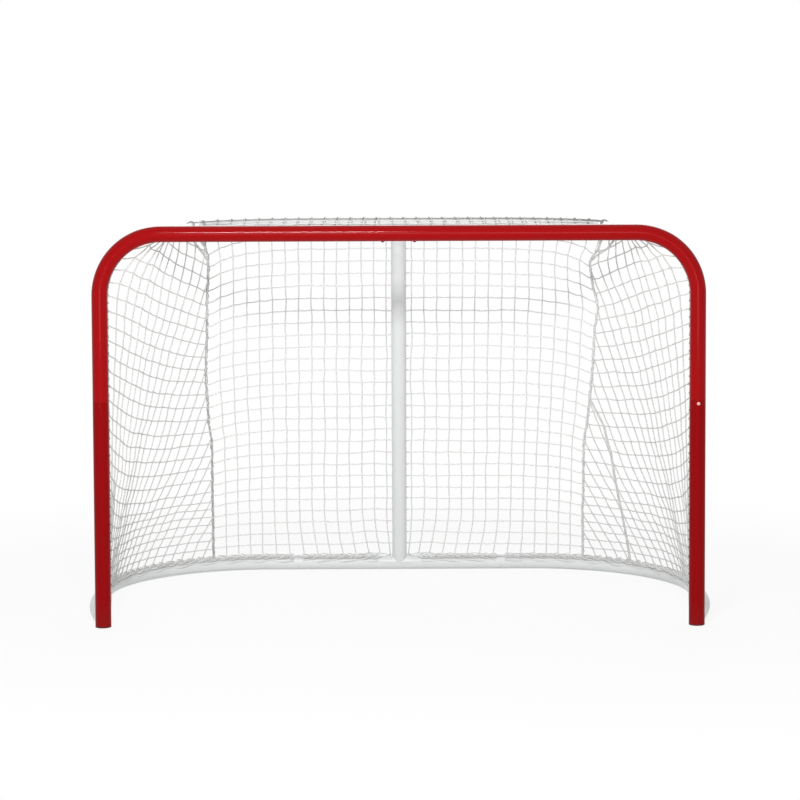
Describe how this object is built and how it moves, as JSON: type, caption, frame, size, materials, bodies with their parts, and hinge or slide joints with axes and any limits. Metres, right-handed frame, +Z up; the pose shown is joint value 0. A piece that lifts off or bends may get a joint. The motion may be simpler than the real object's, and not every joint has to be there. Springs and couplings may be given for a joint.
{
  "type": "roller hockey goal",
  "caption": "Full-size street hockey goal: red tubular mouth, white floor base and top shelf, centre bar, and a white cord net laced round it.",
  "frame": {"origin": "centre of the bounding box at floor level, midway between the posts and the rear base tube", "axes": "+Z up, the mouth faces -Y, +X to the right of someone who looks into the mouth"},
  "size_m": [2.0292, 1.0794, 1.2802],
  "materials": {
    "red_powder_coat": "glossy red powder coat",
    "white_powder_coat": "white powder coat",
    "zinc_plated_steel": "zinc plated",
    "cap_plastic": "dark red moulded plastic",
    "white_twine": "white knotted twine"
  },
  "bodies": {
    "root": {"base_saddle": "white_powder_coat", "base_saddle_left_bolt": "zinc_plated_steel", "base_saddle_right_bolt": "zinc_plated_steel", "centre_bar": "white_powder_coat", "crossbar_sleeve": "zinc_plated_steel", "left_base_bolt": "zinc_plated_steel", "left_base_lace": "white_twine", "left_base_rod": "white_powder_coat", "left_base_sleeve": "zinc_plated_steel", "left_base_stub": "red_powder_coat", "left_base_tube": "white_powder_coat", "left_corner_rod": "red_powder_coat", "left_corner_tube": "red_powder_coat", "left_crossbar_bolt": "red_powder_coat", "left_crossbar_rod": "red_powder_coat", "left_foot_cap": "cap_plastic", "left_inner_base_joint_bolt": "zinc_plated_steel", "left_lower_post": "red_powder_coat", "left_outer_base_joint_bolt": "zinc_plated_steel", "left_post_bolt": "red_powder_coat", "left_post_rod": "red_powder_coat", "left_post_sleeve": "zinc_plated_steel", "left_rear_rod": "white_powder_coat", "left_shelf_bolt": "zinc_plated_steel", "left_shelf_stub": "red_powder_coat", "net_back": "white_twine", "net_left": "white_twine", "net_right": "white_twine", "net_top": "white_twine", "rear_base_tube": "white_powder_coat", "right_base_bolt": "zinc_plated_steel", "right_base_lace": "white_twine", "right_base_rod": "white_powder_coat", "right_base_sleeve": "zinc_plated_steel", "right_base_stub": "red_powder_coat", "right_base_tube": "white_powder_coat", "right_corner_rod": "red_powder_coat", "right_corner_tube": "red_powder_coat", "right_crossbar_bolt": "red_powder_coat", "right_crossbar_rod": "red_powder_coat", "right_foot_cap": "cap_plastic", "right_inner_base_joint_bolt": "zinc_plated_steel", "right_lower_post": "red_powder_coat", "right_outer_base_joint_bolt": "zinc_plated_steel", "right_post_bolt": "red_powder_coat", "right_post_rod": "red_powder_coat", "right_post_sleeve": "zinc_plated_steel", "right_rear_rod": "white_powder_coat", "right_shelf_bolt": "zinc_plated_steel", "right_shelf_stub": "red_powder_coat", "shelf_saddle": "white_powder_coat", "shelf_saddle_left_bolt": "zinc_plated_steel", "shelf_saddle_right_bolt": "zinc_plated_steel", "top_shelf_tube": "white_powder_coat"}
  },
  "joints": []
}
